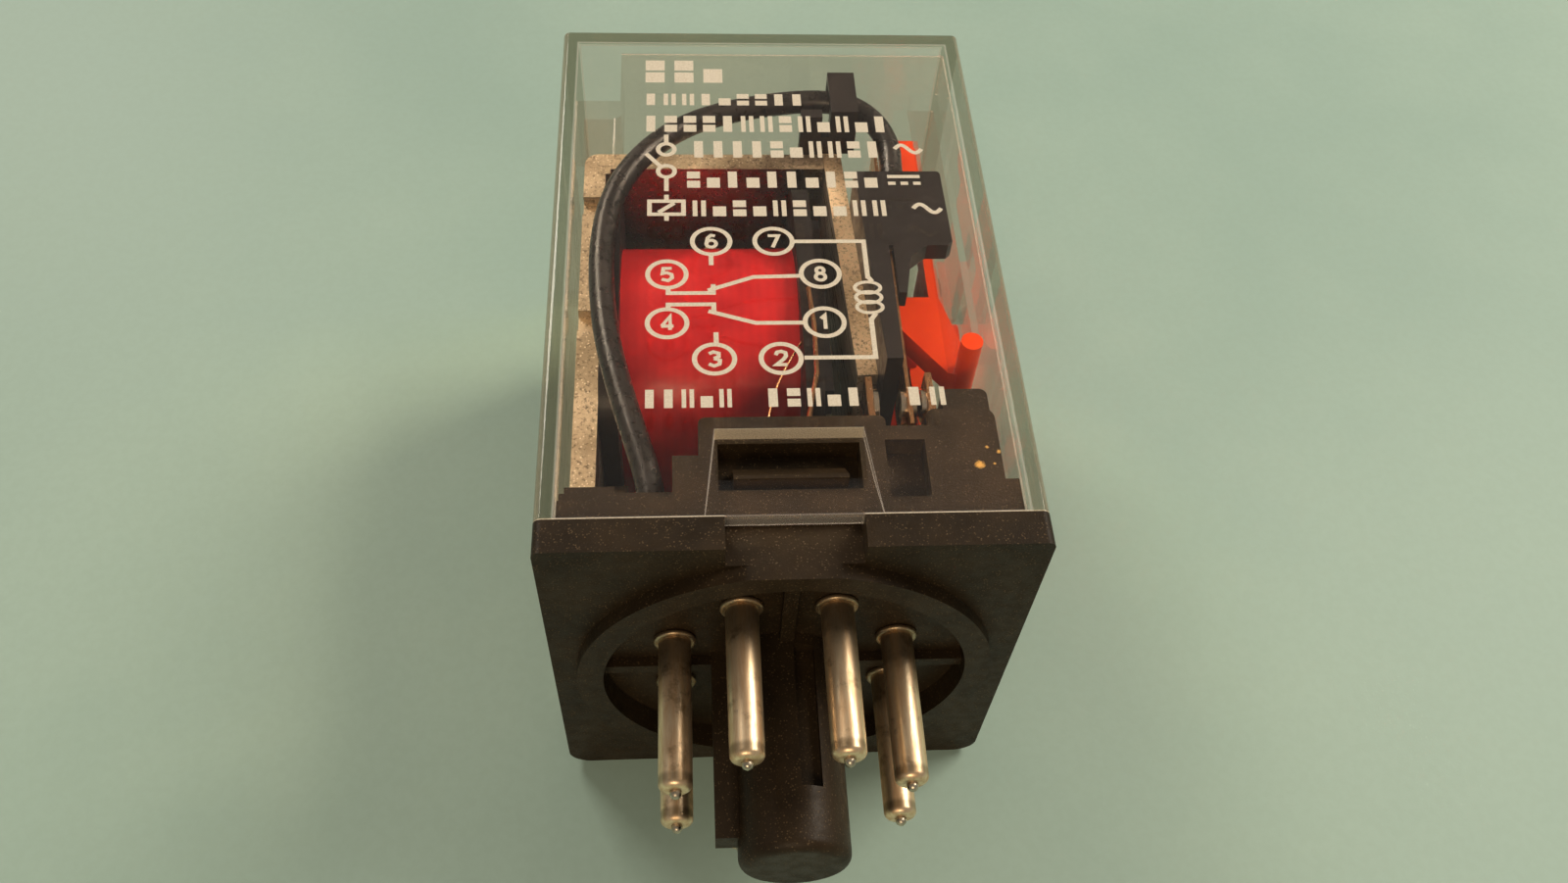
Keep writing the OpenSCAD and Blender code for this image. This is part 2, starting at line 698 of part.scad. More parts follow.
// Rivets that hold the carrier on the armature
module armature_rivets() {
    color([0.75, 0.74, 0.7]) for (s = [-1, 1]) translate([0, carrier_rivet.y, s * carrier_rivet.x]) {
        along_x(card_left(carrier_rivet.y) + part_gap)
            cylinder(h = card_right - card_left(carrier_rivet.y), r = carrier_rivet.z);
        along_x(card_right + fit) cylinder(h = 0.55, r = carrier_rivet.z + 0.6);
    }
}

module wing_outline() {
    x1 = blade_x + wing_reach;
    low = card_top - wing_h;
    leg_low = low - 5;
    polygon([
        [blade_x - 0.4, card_top], [x1 - 0.2, card_top], [x1, card_top - 0.3],
        [x1 + 0.1, low + 0.4], [x1 - 0.3, low],
        [blade_x + 2.9, low], [blade_x + 1.5, low - 1.2], [blade_x + 0.8, leg_low],
        [blade_x + blade_t / 2 + fit, leg_low], [blade_x + blade_t / 2 + fit, low], [blade_x - 0.4, low]
    ]);
}

// Left face of the carrier's card, on the tilted armature
card_seat = seat_gap + armature_t + fit;
function card_left(y) = pole_x + card_seat * cos(swing) - (y - hinge.y) * sin(swing);

module contact_carrier() {
    upper_low = card_top - wing_h;
    blade_z0 = pole_z - blade_w / 2;
    blade_z1 = pole_z + blade_w / 2;
    color([0.1, 0.09, 0.1]) difference() {
        union() {
            slab(-carrier_half, carrier_half)
                polygon([[card_left(card_top), card_top], [card_right, card_top],
                    [card_right, card_low], [card_left(card_low), card_low]]);
            both_poles() {
                box([card_right - eps, upper_low, blade_z0 - 0.6],
                    [blade_x + clamp_t, card_top, carrier_half]);
                slab(carrier_half - wing_t, carrier_half) wing_outline();
            }
            box([card_right - eps, nose_y - 1.6, -pusher_half], [pusher_face, card_top, pusher_half]);
        }
        both_poles() box([blade_x - blade_t / 2 - fit, upper_low - 9, blade_z0 - fit],
            [blade_x + blade_t / 2 + fit, card_top + 1, blade_z1 + fit]);
        for (s = [-1, 1]) translate([0, carrier_rivet.y, s * carrier_rivet.x])
            along_x(pole_x) cylinder(h = blade_to_wall, r = carrier_rivet.z + fit);
    }
}

module blade() {
    slot_half = 0.35;
    slot_top = contact_y - contact_r - 0.1;
    color([0.78, 0.5, 0.3]) difference() {
        slab(pole_z - blade_w / 2, pole_z + blade_w / 2)
            translate([blade_x - blade_t / 2, blade_low]) square([blade_t, tag_top - blade_low]);
        box([blade_x - 1, blade_low - 1, pole_z - slot_half], [blade_x + 1, slot_top, pole_z + slot_half]);
        box([blade_x - 1, card_top + 0.6, pole_z + 0.9], [blade_x + 1, tag_top + 1, pole_z + blade_w]);
        translate([0, contact_y, pole_z]) along_x(blade_x - 1) cylinder(h = 2, r = rivet_r + fit);
    }
}

// A contact rivet's head: a short drum with a low dome, rising along Z
module contact_head(h, r) {
    dome = 0.18;
    dome_r = (r * r + dome * dome) / (2 * dome);
    rotate_extrude($fn = 40) {
        square([r, h - dome]);
        intersection() {
            translate([0, h - dome_r]) circle(dome_r, $fn = 360);
            translate([0, h - dome - eps]) square([r, dome + 2 * eps]);
        }
    }
}

module moving_contact() {
    color([0.86, 0.85, 0.8]) translate([blade_x, contact_y, pole_z]) {
        for (s = [0, 180]) rotate([0, 90 + s, 0]) translate([0, 0, blade_t / 2 + fit])
            contact_head(contact_h - fit, contact_r);
        along_x(-blade_t) cylinder(h = 2 * blade_t, r = rivet_r);
    }
}

// ---- Fixed contacts ----

// A strip that rises from a foot under its pin's head; its left face is at x, and
// the foot runs along X beside the pin before it turns towards the strip
module fixed_terminal(p, x, top) {
    x1 = x + terminal_t;
    tag_foot(p);
    difference() {
        box([min(p[0], x1 - foot_w), y_deck, p[1] - 1], [max(p[0], x1), y_deck + foot_t, p[1] + 1.9]);
        translate([p[0], 0, p[1]]) up_y(y_deck - 1) cylinder(h = 3, r = 1.7);
    }
    box([x1 - foot_w, y_deck, p[1] + 1.8], [x1, y_deck + foot_t, strip_z1]);
    box([x, y_deck, strip_z0], [x1, top, strip_z1]);
}

module no_terminal() {
    color([0.76, 0.47, 0.28]) fixed_terminal(pin_at(3), no_x - terminal_t, no_top);
}

module no_contact() {
    color([0.88, 0.87, 0.83]) translate([no_x + fit, contact_y, pole_z]) rotate([0, 90, 0])
        contact_head(contact_h - fit, contact_r);
}

module nc_terminal() {
    color([0.76, 0.47, 0.28]) fixed_terminal(pin_at(4), nc_x, nc_top);
}

module nc_contact() {
    color([0.88, 0.87, 0.83]) translate([nc_x - fit, contact_y, pole_z]) rotate([0, -90, 0])
        contact_head(contact_h - fit, contact_r);
}

// Tag that joins a pole's lead to its pin
module common_tag() {
    p = pin_at(1);
    color([0.75, 0.7, 0.55]) {
        tag_foot(p);
        box([p[0] - 1.9, y_deck, p[1] + 1.8],
            [p[0] - 0.2, y_deck + foot_t, lead_route[0][2] - lead_d / 2 - 0.3]);
    }
}

module lead() {
    color([0.05, 0.05, 0.05]) swept(lead_route, lead_d);
}

// ---- Spring and guide ----

// Close-wound return spring between the yoke and the armature's tail
module return_spring() {
    wire = 0.32;
    spring_r = 0.95;
    tail_x = pole_x + seat_gap - (spring_y - hinge.y) * sin(swing) - fit;
    color([0.75, 0.74, 0.7]) translate([0, spring_y, 0]) {
        along_x(spring_x0) rotate_extrude($fn = 28) {
            for (i = [0 : spring_turns]) translate([spring_r, i * spring_pitch]) circle(wire, $fn = 16);
            translate([spring_r - wire / 2, 0]) square([wire, spring_turns * spring_pitch]);
            // closed ends that carry the hooks
            for (i = [0, spring_turns]) translate([0, i * spring_pitch - wire / 2]) square([spring_r, wire]);
        }
        along_x(spring_x0 + spring_turns * spring_pitch)
            cylinder(h = tail_x - spring_x0 - spring_turns * spring_pitch, r = hook_r);
        along_x(hook_x) cylinder(h = spring_x0 - hook_x, r = hook_r);
        translate([hook_x, 0, 0]) {
            sphere(hook_r);
            up_y(yoke_under - 0.6 - spring_y) cylinder(h = spring_y - yoke_under + 0.6, r = hook_r);
        }
    }
}

// Black comb on the yoke that keeps both leads clear of the armature
module lead_guide() {
    x0 = pole_x - 2.1;
    x1 = pole_x - 0.3;
    clip_x0 = pole_x + 0.4;
    clip_x1 = pole_x + 2.7;
    inner_z = armature_w / 2 + 0.6;
    hook_z = lead_z + lead_d / 2 + part_gap;
    low = yoke_top + fit;
    under = yoke_top + 1.3;
    over = yoke_top + 4.5;
    clip_t = 0.6;
    color([0.09, 0.085, 0.08]) {
        for (s = [-1, 1]) box([x0, low, s > 0 ? 2.2 : -hook_z], [x1, low + 1, s > 0 ? hook_z : -2.2]);
        box([x0, low, -2.2 - eps], [x1, low + 0.5, 2.2 + eps]);
        both_poles() {
            box([x1 - eps, low, inner_z], [clip_x1, under, lead_z - lead_d / 2 - part_gap]);
            box([clip_x0, low, inner_z], [clip_x1, under, hook_z + clip_t]);
            box([clip_x0, low, hook_z], [clip_x1, over + clip_t, hook_z + clip_t]);
            box([clip_x0, over, lead_z - 1.4], [clip_x1, over + clip_t, hook_z + clip_t]);
        }
    }
}

// ---- Test lever ----

module lever_outline() {
    // web from the nose to the pivot
    polygon([
        [nose_x, nose_y + nose_r], [arm_x0 + arm_w, nose_y + nose_r],
        [pivot_x + 0.1, pivot_y + 2.6], [pivot_x + 0.7, pivot_y + 0.4],
        [pivot_x + 0.3, pivot_y - 0.7], [pivot_x - 1.4, pivot_y - 0.2],
        [nose_x - nose_r, nose_y - 2.8], [nose_x - nose_r, nose_y]
    ]);
    translate([nose_x, nose_y]) circle(nose_r);
    // arm with its paddle
    translate([arm_x0, nose_y]) square([arm_w, arm_top - nose_y - 1]);
    translate([paddle_x0, arm_top - 6]) square([1.6, 6]);
}

module test_lever() {
    color([0.93, 0.2, 0.05]) {
        slab(lever_half - 2.2, lever_half) lever_outline();
        slab(-lever_half, -lever_half + 2.2) lever_outline();
        // cross-bars: nose, pivot rod, button bar and flag
        slab(-lever_half, lever_half) translate([nose_x, nose_y]) circle(nose_r);
        slab(-lever_half, lever_half) translate([nose_x, nose_y - 2]) square([1.6, 2.3]);
        slab(-rod_half, rod_half) translate([pivot_x, pivot_y]) circle(pivot_d / 2);
        slab(-lever_half, lever_half) translate([arm_x0, nose_y - 0.4]) square([arm_w, 6]);
        slab(-lever_half, lever_half) translate([paddle_x0, arm_top - 6]) square([0.8, 6]);
        slab(-3, 3) translate([nose_x + 1, nose_y - 4.5]) square([1.3, 5]);
        translate([0, button_y, 0]) along_x(arm_x0 + eps)
            cylinder(h = button_end - arm_x0 - eps, r = button_d / 2);
    }
}

base();
cover();
pin(1);  // pin_1
pin(2);  // pin_2
pin(3);  // pin_3
pin(4);  // pin_4
pin(5);  // pin_5
pin(6);  // pin_6
pin(7);  // pin_7
pin(8);  // pin_8
pin_solder();
yoke();
core();
shading_ring();
bobbin();
coil_winding();
coil_tape();
coil_tag();  // coil_tag_front
mirror([0, 0, 1]) coil_tag();  // coil_tag_rear
coil_wire();  // coil_wire_front
mirror([0, 0, 1]) coil_wire();  // coil_wire_rear
armature();
armature_rivets();
contact_carrier();
return_spring();
lead_guide();
blade();  // blade_front
mirror([0, 0, 1]) blade();  // blade_rear
moving_contact();  // moving_contact_front
mirror([0, 0, 1]) moving_contact();  // moving_contact_rear
no_terminal();  // no_terminal_front
mirror([0, 0, 1]) no_terminal();  // no_terminal_rear
no_contact();  // no_contact_front
mirror([0, 0, 1]) no_contact();  // no_contact_rear
nc_terminal();  // nc_terminal_front
mirror([0, 0, 1]) nc_terminal();  // nc_terminal_rear
nc_contact();  // nc_contact_front
mirror([0, 0, 1]) nc_contact();  // nc_contact_rear
common_tag();  // common_tag_front
mirror([0, 0, 1]) common_tag();  // common_tag_rear
lead();  // lead_front
mirror([0, 0, 1]) lead();  // lead_rear
test_lever();
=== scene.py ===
"""Looks for the plug-in relay: materials, printed face, leads, spring, floor, light and camera."""

import math
import random

import bpy
from mathutils import Matrix, Vector


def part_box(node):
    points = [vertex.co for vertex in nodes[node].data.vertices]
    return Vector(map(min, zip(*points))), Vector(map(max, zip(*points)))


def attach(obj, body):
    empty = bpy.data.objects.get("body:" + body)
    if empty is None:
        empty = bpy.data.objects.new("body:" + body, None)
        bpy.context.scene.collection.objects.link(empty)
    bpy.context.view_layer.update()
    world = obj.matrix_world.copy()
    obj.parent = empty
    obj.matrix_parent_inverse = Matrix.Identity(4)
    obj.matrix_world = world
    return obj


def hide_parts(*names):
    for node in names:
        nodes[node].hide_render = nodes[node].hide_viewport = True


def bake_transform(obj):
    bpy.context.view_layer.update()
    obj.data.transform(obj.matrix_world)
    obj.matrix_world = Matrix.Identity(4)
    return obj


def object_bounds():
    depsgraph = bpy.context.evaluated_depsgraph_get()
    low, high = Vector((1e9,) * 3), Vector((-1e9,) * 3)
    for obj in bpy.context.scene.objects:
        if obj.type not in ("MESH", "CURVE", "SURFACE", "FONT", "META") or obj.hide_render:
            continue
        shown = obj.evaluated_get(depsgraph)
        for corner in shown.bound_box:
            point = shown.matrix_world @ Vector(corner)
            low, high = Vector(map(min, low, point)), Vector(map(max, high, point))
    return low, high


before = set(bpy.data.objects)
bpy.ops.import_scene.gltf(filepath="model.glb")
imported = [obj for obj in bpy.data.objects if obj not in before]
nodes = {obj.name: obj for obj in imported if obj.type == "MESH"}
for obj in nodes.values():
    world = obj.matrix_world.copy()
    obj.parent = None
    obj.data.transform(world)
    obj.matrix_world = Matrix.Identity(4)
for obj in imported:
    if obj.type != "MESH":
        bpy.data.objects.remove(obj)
cad_low, cad_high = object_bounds()
MM = 0.001
ROOT = "housing"


def box_mm(name):
    """A node's lowest and highest corners, in millimetres."""
    return [Vector(corner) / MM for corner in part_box(name)]


# Places and sizes that several functions measure from, in millimetres
COVER_LOW, COVER_HIGH = box_mm("cover")
COVER_WALL = 1.2
DECK = box_mm("common_tag_front")[0].y
LEAD_R = 1.0

# The latch window in the cover: its height above the rim, its width, and at the rim its relief's width
WINDOW_H = 7.0
WINDOW_W = 10.2
RELIEF_W = 11.775


# ---------------------------------------------------------------- materials


class Shader:
    """A material with a few short ways to build its nodes."""

    def __init__(self, name, **settings):
        self.mat = bpy.data.materials.new(name)
        self.mat.use_nodes = True
        self.tree = self.mat.node_tree
        self.bsdf = self.tree.nodes["Principled BSDF"]
        self.out = self.tree.nodes["Material Output"]
        for key, value in settings.items():
            socket = key.replace("_", " ").title().replace("Ior", "IOR")
            self.bsdf.inputs[socket].default_value = value
        coords = self.node("TexCoord")
        self.where = coords.outputs["Object"]
        self.facing = coords.outputs["Normal"]

    def node(self, kind, links=None, **attributes):
        """A new node; each of links joins an input to a socket or sets it to a value."""
        n = self.tree.nodes.new("ShaderNode" + kind)
        for key, value in attributes.items():
            setattr(n, key, value)
        for key, value in (links or {}).items():
            if isinstance(value, bpy.types.NodeSocket):
                self.tree.links.new(value, n.inputs[key])
            else:
                n.inputs[key].default_value = value
        return n

    def stretch(self, x, y, z):
        """Object coordinates, stretched so that a pattern is x, y and z times as fine."""
        return self.node("Mapping", {"Vector": self.where, "Scale": (x, y, z)}).outputs["Vector"]

    def noise(self, size, detail=3.0, rough=0.55, where=None):
        """Noise from 0 to 1 with features about size millimetres wide."""
        where = where or self.where
        links = {"Vector": where, "Scale": 1 / (size * MM), "Detail": detail, "Roughness": rough}
        return self.node("TexNoise", links).outputs["Fac"]

    def cells(self, size):
        """Distance from the nearest of many scattered points, about size millimetres apart."""
        links = {"Vector": self.where, "Scale": 1 / (size * MM)}
        return self.node("TexVoronoi", links).outputs["Distance"]

    def ramp(self, value, low, high, out_low=0.0, out_high=1.0):
        """A smooth step from out_low to out_high, while value goes from low to high."""
        links = {"Value": value, "From Min": low, "From Max": high, "To Min": out_low, "To Max": out_high}
        return self.node("MapRange", links, interpolation_type="SMOOTHSTEP").outputs["Result"]

    def math(self, kind, a, b=0.0):
        return self.node("Math", {0: a, 1: b}, operation=kind).outputs[0]

    def plus(self, a, b):
        return self.math("ADD", a, b)

    def minus(self, a, b):
        return self.math("SUBTRACT", a, b)

    def times(self, a, b):
        return self.math("MULTIPLY", a, b)

    def most(self, first, *others):
        """The largest of several values."""
        for other in others:
            first = self.math("MAXIMUM", first, other)
        return first

    def apart(self, a, b):
        """How far a is from b, never negative."""
        return self.math("ABSOLUTE", self.minus(a, b))

    def mix(self, fac, a, b):
        """Colour a where fac is 0, b where it is 1."""
        n = self.node("Mix", data_type="RGBA")
        for index, value in ((0, fac), (6, a), (7, b)):
            if isinstance(value, bpy.types.NodeSocket):
                self.tree.links.new(value, n.inputs[index])
            else:
                n.inputs[index].default_value = (*value, 1) if isinstance(value, tuple) else value
        return n.outputs[2]

    def color(self, value):
        self.tree.links.new(value, self.bsdf.inputs["Base Color"])

    def rough(self, value):
        self.tree.links.new(value, self.bsdf.inputs["Roughness"])

    def bump(self, height, depth, strength=1.0):
        """Bump of depth millimetres; a second call adds to the first."""
        links = {"Height": height, "Distance": depth * MM, "Strength": strength}
        socket = self.bsdf.inputs["Normal"]
        if socket.links:
            links["Normal"] = socket.links[0].from_socket
        self.tree.links.new(self.node("Bump", links).outputs["Normal"], socket)

    def place(self, axis):
        """Object coordinate along an axis, in metres."""
        return self.node("SeparateXYZ", {"Vector": self.where}).outputs[axis]


def flux_splashes():
    """One large splash and a few small ones to its right: X, Y and radius, in millimetres."""
    chance = random.Random(27)
    x, y = COVER_HIGH.x - 3.9, DECK + 1.2
    splashes = [(x, y, 0.62)]
    for r in (0.3, 0.25, 0.24, 0.18):
        splashes.append((x + chance.uniform(0.6, 1.9), y + chance.uniform(-1.1, 2.0), r))
    return splashes


def moulded_base():
    s = Shader("base_moulding", metallic=0.0, ior=1.5, specular_ior_level=0.18)
    grain = s.noise(0.13, 2.0, 0.6)
    cloud = s.noise(4.0, 4.0, 0.6)
    # light flecks of the moulding, painted brighter as glints where its grain catches light
    fleck = s.ramp(s.cells(0.2), 0.36, 0.12)
    tone = s.mix(s.ramp(cloud, 0.3, 0.7), (0.021, 0.013, 0.0062), (0.035, 0.0215, 0.0102))
    fleck_glint_strength = s.ramp(s.noise(0.45), 0.42, 0.62, 0.05, 0.6)
    tone = s.mix(s.times(fleck, fleck_glint_strength), tone, (0.19, 0.125, 0.065))
    # ragged gold splashes, on the front face of the terminal block only
    x, y, z = (s.place(axis) for axis in "XYZ")
    ragged = s.noise(0.32, 3.0, 0.7)
    spots = []
    for splash_x, splash_y, r in flux_splashes():
        dx, dy = s.minus(x, splash_x * MM), s.minus(y, splash_y * MM)
        far = s.math("SQRT", s.plus(s.times(dx, dx), s.times(dy, dy)))
        far = s.plus(far, s.times(ragged, 0.9 * r * MM))
        spots.append(s.ramp(far, 1.1 * r * MM, 0.7 * r * MM))
    block_face = (COVER_HIGH.z - COVER_WALL - 0.2) * MM
    on_face = s.ramp(z, block_face - 0.1 * MM, block_face)
    s.color(s.mix(s.times(s.most(*spots), on_face), tone, (0.62, 0.36, 0.09)))
    s.rough(s.ramp(s.noise(0.9, 4.0), 0.3, 0.7, 0.4, 0.55))
    s.bump(grain, 0.02, 0.9)
    s.bump(cloud, 0.05, 0.25)
    return s.mat


def wall_edges(s, x, y, z):
    """Bands where one looks along a wall of the box, through its full depth, and the line beside each."""
    inner_x, inner_y, inner_z = ((c - COVER_WALL) * MM for c in COVER_HIGH)
    past = [s.minus(x, inner_x), s.minus(z, inner_z), s.minus(y, inner_y)]
    edge_on = s.most(*[s.math("MINIMUM", past[i], past[(i + 1) % 3]) for i in range(3)])
    band = s.ramp(edge_on, -0.03 * MM, 0.03 * MM)
    line = s.ramp(s.math("ABSOLUTE", s.plus(edge_on, 0.1 * MM)), 0.1 * MM, 0.02 * MM, 0.0, 0.25)
    # the moulded corners scatter a little light
    corner = s.ramp(s.math("MINIMUM", x, z), inner_x + 0.7 * MM, inner_x + 0.95 * MM, 0.0, 0.3)
    return band, line, corner


def window_marks(s, x, y, z):
    """The frosted rim and sill of the cover, painted pale as painted light, and painted highlight lines on
    the sides of the relief round its window.
    """
    rim_y, sill_y = COVER_LOW.y * MM, (COVER_LOW.y + WINDOW_H) * MM
    half, rim_half, notch_half = WINDOW_W / 2 * MM, RELIEF_W / 2 * MM, 4.5 * MM
    face_z = (COVER_HIGH.z - COVER_WALL + 0.2) * MM
    taper = (rim_half - half) / (sill_y - rim_y)
    # painted highlight: thin pale lines along the slanted sides of the relief
    slope = s.plus(s.times(y, -taper), half + taper * sill_y)
    side = s.ramp(s.apart(x, slope), 0.06 * MM, 0.015 * MM, 0.0, 0.3)
    side = s.times(side, s.ramp(y, sill_y + 0.1 * MM, sill_y))
    side = s.times(side, s.ramp(z, face_z, face_z + 0.2 * MM))
    # painted light: the rim's end face is painted pale tan, as if lit by light carried along the wall
    # the rim is clearer over the notch in the flange
    rim = s.ramp(y, rim_y + 0.15 * MM, rim_y + 0.02 * MM)
    rim = s.times(rim, s.ramp(x, notch_half, notch_half + 0.2 * MM, 0.25, 1.0))
    # painted light: the window's sill is painted pale tan, lighter than the shade it lies in
    sill = s.ramp(s.apart(y, sill_y), 0.03 * MM, 0.01 * MM)
    sill = s.times(sill, s.ramp(x, half + 0.05 * MM, half))
    return s.most(rim, sill), side


def clear_plastic():
    """Clear, faintly olive plastic, with frosted faces where the moulding was trimmed, painted pale tan as
    painted light.
    """
    # a thin flat wall barely bends the light, so it goes straight through and a coat reflects
    s = Shader("clear_cover", metallic=0.0, ior=1.0, coat_weight=0.8, coat_roughness=0.03)
    # the cover is the same on both sides of its middle planes
    x, y, z = s.math("ABSOLUTE", s.place("X")), s.place("Y"), s.math("ABSOLUTE", s.place("Z"))
    band, line, corner = wall_edges(s, x, y, z)
    frosted_lit_rim_and_sill, side = window_marks(s, x, y, z)
    milky = s.most(s.times(frosted_lit_rim_and_sill, 0.85), corner, side, line)
    # pale tan for the milky marks, among them the painted light of the rim, sill and relief sides
    tan = s.mix(s.ramp(s.noise(0.1, 3.0, 0.7), 0.35, 0.65), (0.5, 0.39, 0.24), (0.92, 0.80, 0.60))
    clear = s.mix(band, (0.935, 0.87, 0.82), (0.44, 0.40, 0.31))
    grazing = s.ramp(s.node("LayerWeight").outputs["Facing"], 0.7, 0.98, 0.0, 0.55)
    clear = s.mix(grazing, clear, (0.60, 0.53, 0.43))
    s.color(s.mix(milky, clear, tan))
    s.tree.links.new(s.minus(1.0, milky), s.bsdf.inputs["Transmission Weight"])
    scuff = s.ramp(s.noise(6.0, 5.0, 0.7), 0.45, 0.75, 0.015, 0.05)
    s.rough(s.plus(scuff, s.times(milky, 0.4)))
    s.bump(s.noise(11.0, 2.0), 0.02, 0.15)
    # light reaches what is inside: a shadow ray goes through with a little loss
    shadow = s.node("LightPath").outputs["Is Shadow Ray"]
    through = s.node("BsdfTransparent", {"Color": (0.92, 0.92, 0.87, 1)}).outputs["BSDF"]
    mix = s.node("MixShader", {0: shadow, 1: s.bsdf.outputs["BSDF"], 2: through})
    s.tree.links.new(mix.outputs["Shader"], s.out.inputs["Surface"])
    return s.mat


def pin_metal():
    s = Shader("pin_plating", metallic=0.9)
    along = s.stretch(1.0, 0.12, 1.0)
    streak = s.noise(0.5, 5.0, 0.65, along)
    stain = s.noise(1.8, 4.0, 0.65)
    tone = s.mix(s.ramp(streak, 0.32, 0.68), (0.74, 0.49, 0.28), (1.0, 0.78, 0.52))
    tone = s.mix(s.ramp(stain, 0.54, 0.7, 0.0, 0.6), tone, (0.27, 0.16, 0.08))
    # painted shade near the base, at the top of each pin, with a ragged edge, and a darker band just above
    # the rounded tip
    y = s.place("Y")
    tip_y = (box_mm("pin_1")[0].y + 0.7) * MM
    low = s.ramp(s.plus(y, s.times(stain, 3.0 * MM)), -0.6 * MM, 1.4 * MM, 0.0, 0.6)
    tip = s.ramp(s.apart(y, tip_y), 0.55 * MM, 0.1 * MM, 0.0, 0.55)
    s.color(s.mix(s.most(low, tip), tone, (0.11, 0.075, 0.035)))
    s.rough(s.ramp(streak, 0.3, 0.7, 0.46, 0.3))
    s.bump(s.noise(0.22, 3.0, 0.6, along), 0.012, 0.6)
    s.bump(s.noise(0.7, 3.0, 0.6), 0.03, 0.3)
    return s.mat


def solder():
    s = Shader("solder", metallic=1.0)
    s.color(s.mix(s.noise(0.5, 4.0), (0.34, 0.28, 0.2), (0.72, 0.64, 0.5)))
    s.rough(s.ramp(s.noise(0.4), 0.3, 0.7, 0.22, 0.45))
    s.bump(s.noise(0.35, 3.0), 0.03, 0.6)
    return s.mat


def magnet_steel(name="plated_steel_sheet", metallic=1.0, pale=0.0):
    """Nickel-plated sheet: drawn and smooth on its faces, torn on its sheared edges, with painted glints
    there.

    The sheets lie edge on to the Z axis. A pale of more than 0 lightens those edges, as painted light
    where they lie in shade.
    """
    s = Shader(name, metallic=metallic)
    facing = s.node("SeparateXYZ", {"Vector": s.facing}).outputs["Z"]
    sheared = s.ramp(s.math("ABSOLUTE", facing), 0.7, 0.95)
    fine = s.noise(0.3, 4.0, 0.7)
    drawn = s.noise(0.35, 4.0, 0.6, s.stretch(1.0, 0.06, 1.0))
    cloud = s.noise(5.0, 4.0, 0.6)
    face = s.mix(s.ramp(cloud, 0.3, 0.7), (0.50, 0.44, 0.35), (0.66, 0.60, 0.50))
    face = s.mix(s.ramp(drawn, 0.35, 0.7, 0.0, 0.3), face, (0.30, 0.25, 0.19))
    dull = (0.42 + pale, 0.32 + 0.7 * pale, 0.2 + 0.4 * pale)
    lit = (0.76 + pale, 0.6 + 0.7 * pale, 0.41 + 0.4 * pale)
    torn = s.mix(s.ramp(cloud, 0.3, 0.7), dull, lit)
    torn = s.mix(s.ramp(fine, 0.5, 0.66, 0.0, 0.75), torn, (0.12, 0.085, 0.05))
    # painted glints: bright specks on the torn edges
    torn = s.mix(s.ramp(s.cells(0.3), 0.3, 0.12, 0.0, 0.9), torn, (0.97, 0.84, 0.6))
    s.color(s.mix(sheared, face, torn))
    s.rough(s.plus(s.ramp(drawn, 0.3, 0.7, 0.24, 0.36), s.times(sheared, 0.2)))
    s.bump(s.times(fine, s.plus(s.times(sheared, 0.9), 0.1)), 0.05, 0.9)
    return s.mat


def bright_steel():
    s = Shader("bright_steel", metallic=1.0)
    grain = s.noise(0.3, 4.0, 0.65)
    s.color(s.mix(grain, (0.42, 0.37, 0.29), (0.68, 0.63, 0.53)))
    s.rough(s.ramp(grain, 0.3, 0.7, 0.2, 0.34))
    s.bump(grain, 0.006, 0.4)
    return s.mat


def copper(name="blade_copper", pale=0.0):
    """Rolled copper strip, or with a pale of 1 the brass of the terminals."""
    s = Shader(name, metallic=1.0)
    roll = s.noise(0.5, 4.0, 0.6, s.stretch(1.0, 0.1, 1.0))
    warm = (0.80 + 0.02 * pale, 0.45 + 0.14 * pale, 0.22 + 0.14 * pale)
    dark = (0.46, 0.23 + 0.05 * pale, 0.10 + 0.05 * pale)
    tone = s.mix(s.ramp(roll, 0.3, 0.7), dark, warm)
    tone = s.mix(s.ramp(s.noise(2.4, 4.0), 0.56, 0.75, 0.0, 0.5), tone, (0.2, 0.1, 0.05))
    s.color(s.mix(s.ramp(s.cells(0.35), 0.3, 0.1, 0.0, 0.8), tone, (0.95, 0.72, 0.45)))
    s.rough(s.ramp(roll, 0.3, 0.7, 0.36, 0.22))
    s.bump(s.noise(0.3, 3.0), 0.012, 0.6)
    return s.mat


def silver():
    s = Shader("contact_silver", metallic=1.0)
    worn = s.noise(0.5, 4.0)
    s.color(s.mix(s.ramp(worn, 0.35, 0.7), (0.98, 0.90, 0.74), (0.74, 0.60, 0.4)))
    s.rough(s.ramp(worn, 0.3, 0.7, 0.1, 0.28))
    s.bump(worn, 0.04, 0.6)
    return s.mat


def black_moulding():
    s = Shader("black_moulding", metallic=0.0, ior=1.5, specular_ior_level=0.35)
    cloud = s.noise(2.5, 4.0)
    s.color(s.mix(cloud, (0.0125, 0.0095, 0.0085), (0.027, 0.0205, 0.018)))
    s.rough(s.ramp(s.noise(0.7, 3.0), 0.3, 0.7, 0.32, 0.48))
    s.bump(s.noise(0.2, 2.0), 0.008, 0.6)
    return s.mat


